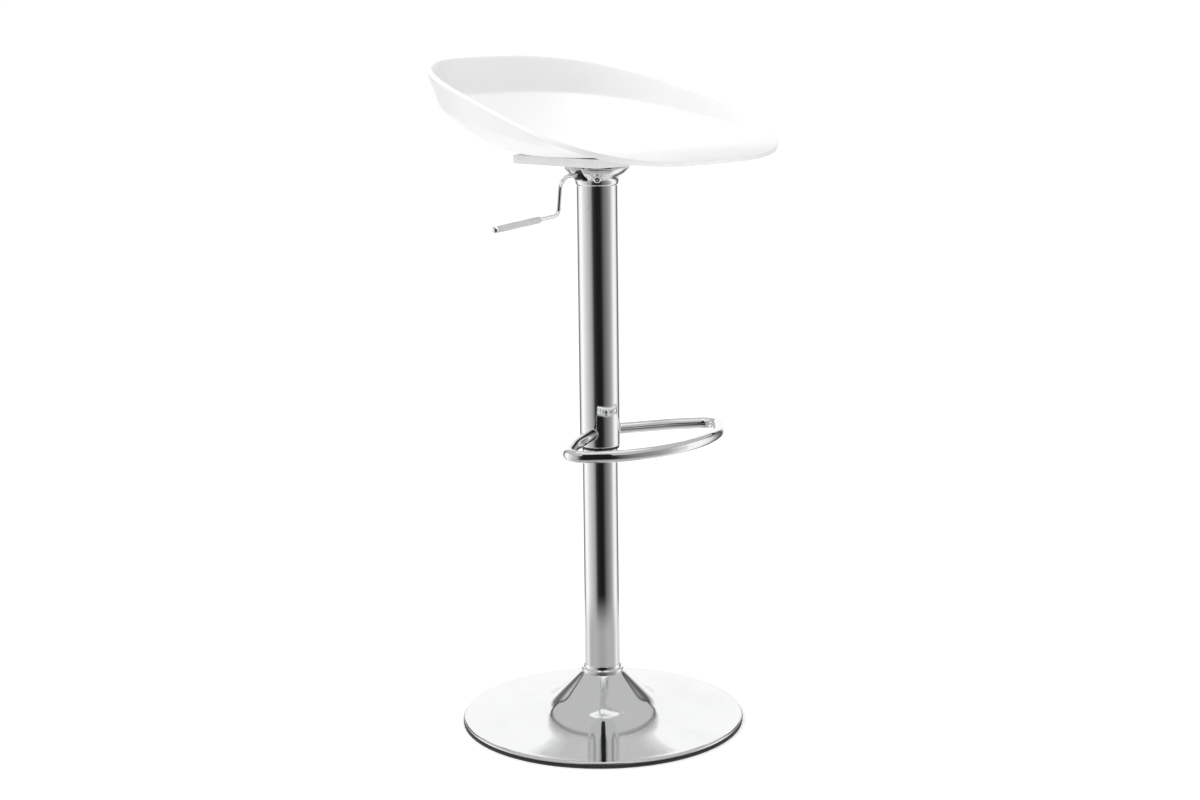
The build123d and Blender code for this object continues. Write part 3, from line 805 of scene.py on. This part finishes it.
# What the chrome mirrors: a square booth of white, grey and black boards round the stool, open above,
# a tall black flag on the camera's side, and the floor in shades of its own close to the base. Each pair
# is an angle round the column, from the camera's side towards its right, and how light it is there.
BOARD_SHADES = [
    (-180, 1.0), (-153, 1.0), (-147, 0.2), (-138, 0.13), (-129, 0.5), (-117, 1.0), (-100, 1.05),
    (-88, 0.85), (-74, 0.68), (-60, 0.55), (-47, 0.45), (-36, 0.3), (-30, 0.15), (-25, 0.05),
    (-17, 0.022), (-5, 0.012), (11, 0.012), (20, 0.028), (27, 0.09), (36, 0.15), (47, 0.21),
    (60, 0.29), (73, 0.42), (84, 0.7), (94, 0.95), (106, 1.0), (118, 0.8), (129, 0.2), (140, 0.08),
    (152, 1.0), (180, 1.0),
]
NEAR_SHADES = [
    (-180, 1.0), (-135, 0.7), (-120, 0.7), (-100, 0.9), (-89, 0.6), (-75, 0.45), (-40, 0.45), (0, 0.36),
    (40, 0.45), (75, 0.45), (89, 0.6), (100, 0.9), (120, 0.7), (135, 0.7), (180, 1.0),
]
NEAR_SHADE_ENDS = (0.42, 0.66)
BOOTH_CORNER_R = 3.6
BOOTH_TOP = 2.0
RAIL_BOTTOM = 1.84
FLAG_DISTANCE = 2.0
FLAG_WIDTH = 1.3
FLAG_HEIGHT = 3.4


def board_paint(name, near_ends, rail_from):
    """Lit board, shaded by its angle round the column, with softer shades close in and a black top rail."""
    paint = new_finish(name)
    turned = paint.turned(angles=(0, 0, -atan2(toward_camera.y, toward_camera.x)))
    x, y, z = paint.axes(turned)
    share_round = y.angle_from(x) / (2 * pi) + 0.5
    near_shade, far_shade = (
        paint.node(
            "ShaderNodeValToRGB", {"stops": [((angle + 180) / 360, level) for angle, level in shades]},
            {0: share_round},
        )
        for shades in (NEAR_SHADES, BOARD_SHADES)
    )
    far_out = paint.stretched((x * x + y * y) ** 0.5, *near_ends)
    on_rail = paint.stretched(z, rail_from, rail_from + 0.01)
    colour = paint.blended(on_rail, paint.blended(far_out, near_shade, far_shade), (0.02, 0.02, 0.02))
    light = paint.node("ShaderNodeEmission", sockets={"Color": colour, "Strength": 1.0})
    paint.node("ShaderNodeOutputMaterial", sockets={"Surface": light}, output=None)
    return paint.owner


def only_mirrored(board):
    """Let a board show in the chrome, and neither be seen nor light or shade anything."""
    board.visible_camera = board.visible_diffuse = board.visible_shadow = False
    board.visible_transmission = board.visible_volume_scatter = False


boards = board_paint("board_paint", NEAR_SHADE_ENDS, RAIL_BOTTOM)
only_mirrored(staged("floor_boards", spun([(208, 1), (660, 2), (5000, 4)], closed=False), boards))
booth = spun([(BOOTH_CORNER_R / MM, 1), (BOOTH_CORNER_R / MM, BOOTH_TOP / MM)], closed=False, steps=4)
bmesh.ops.rotate(
    booth, verts=booth.verts, cent=(0, 0, 0),
    matrix=Matrix.Rotation(atan2(toward_camera.y, toward_camera.x) + pi / 4, 3, "Z"),
)
only_mirrored(staged("booth_walls", booth, boards))
flag = bmesh.new()
bmesh.ops.create_grid(flag, x_segments=1, y_segments=1, size=0.5)
flag_place = Matrix.Translation(FLAG_DISTANCE * toward_camera + FLAG_HEIGHT / 2 * UP)
flag_turn = toward_camera.to_track_quat("Z", "Y").to_matrix().to_4x4()
flag_size = Matrix.Diagonal((FLAG_WIDTH, FLAG_HEIGHT, 1, 1))
bmesh.ops.transform(flag, verts=flag.verts, matrix=flag_place @ flag_turn @ flag_size)
only_mirrored(staged("black_flag", flag, boards))


def soft_box(name, place, aim, size, power):
    lamp = bpy.data.objects.new(name, bpy.data.lights.new(name, "AREA"))
    scene.collection.objects.link(lamp)
    lamp.data.size, lamp.data.energy = size, power
    lamp.visible_glossy = False
    lamp.location = place
    lamp.rotation_mode = "QUATERNION"
    lamp.rotation_quaternion = (aim - place).to_track_quat("-Z", "Y")


seat_middle = Vector((0, 0, 0.85))
soft_box("top_bank", 3.1 * UP, seat_middle, 1.4, 33)
soft_box("left_bank", 0.2 * toward_camera - 2.2 * camera_right + 2.4 * UP, seat_middle, 1.4, 14)
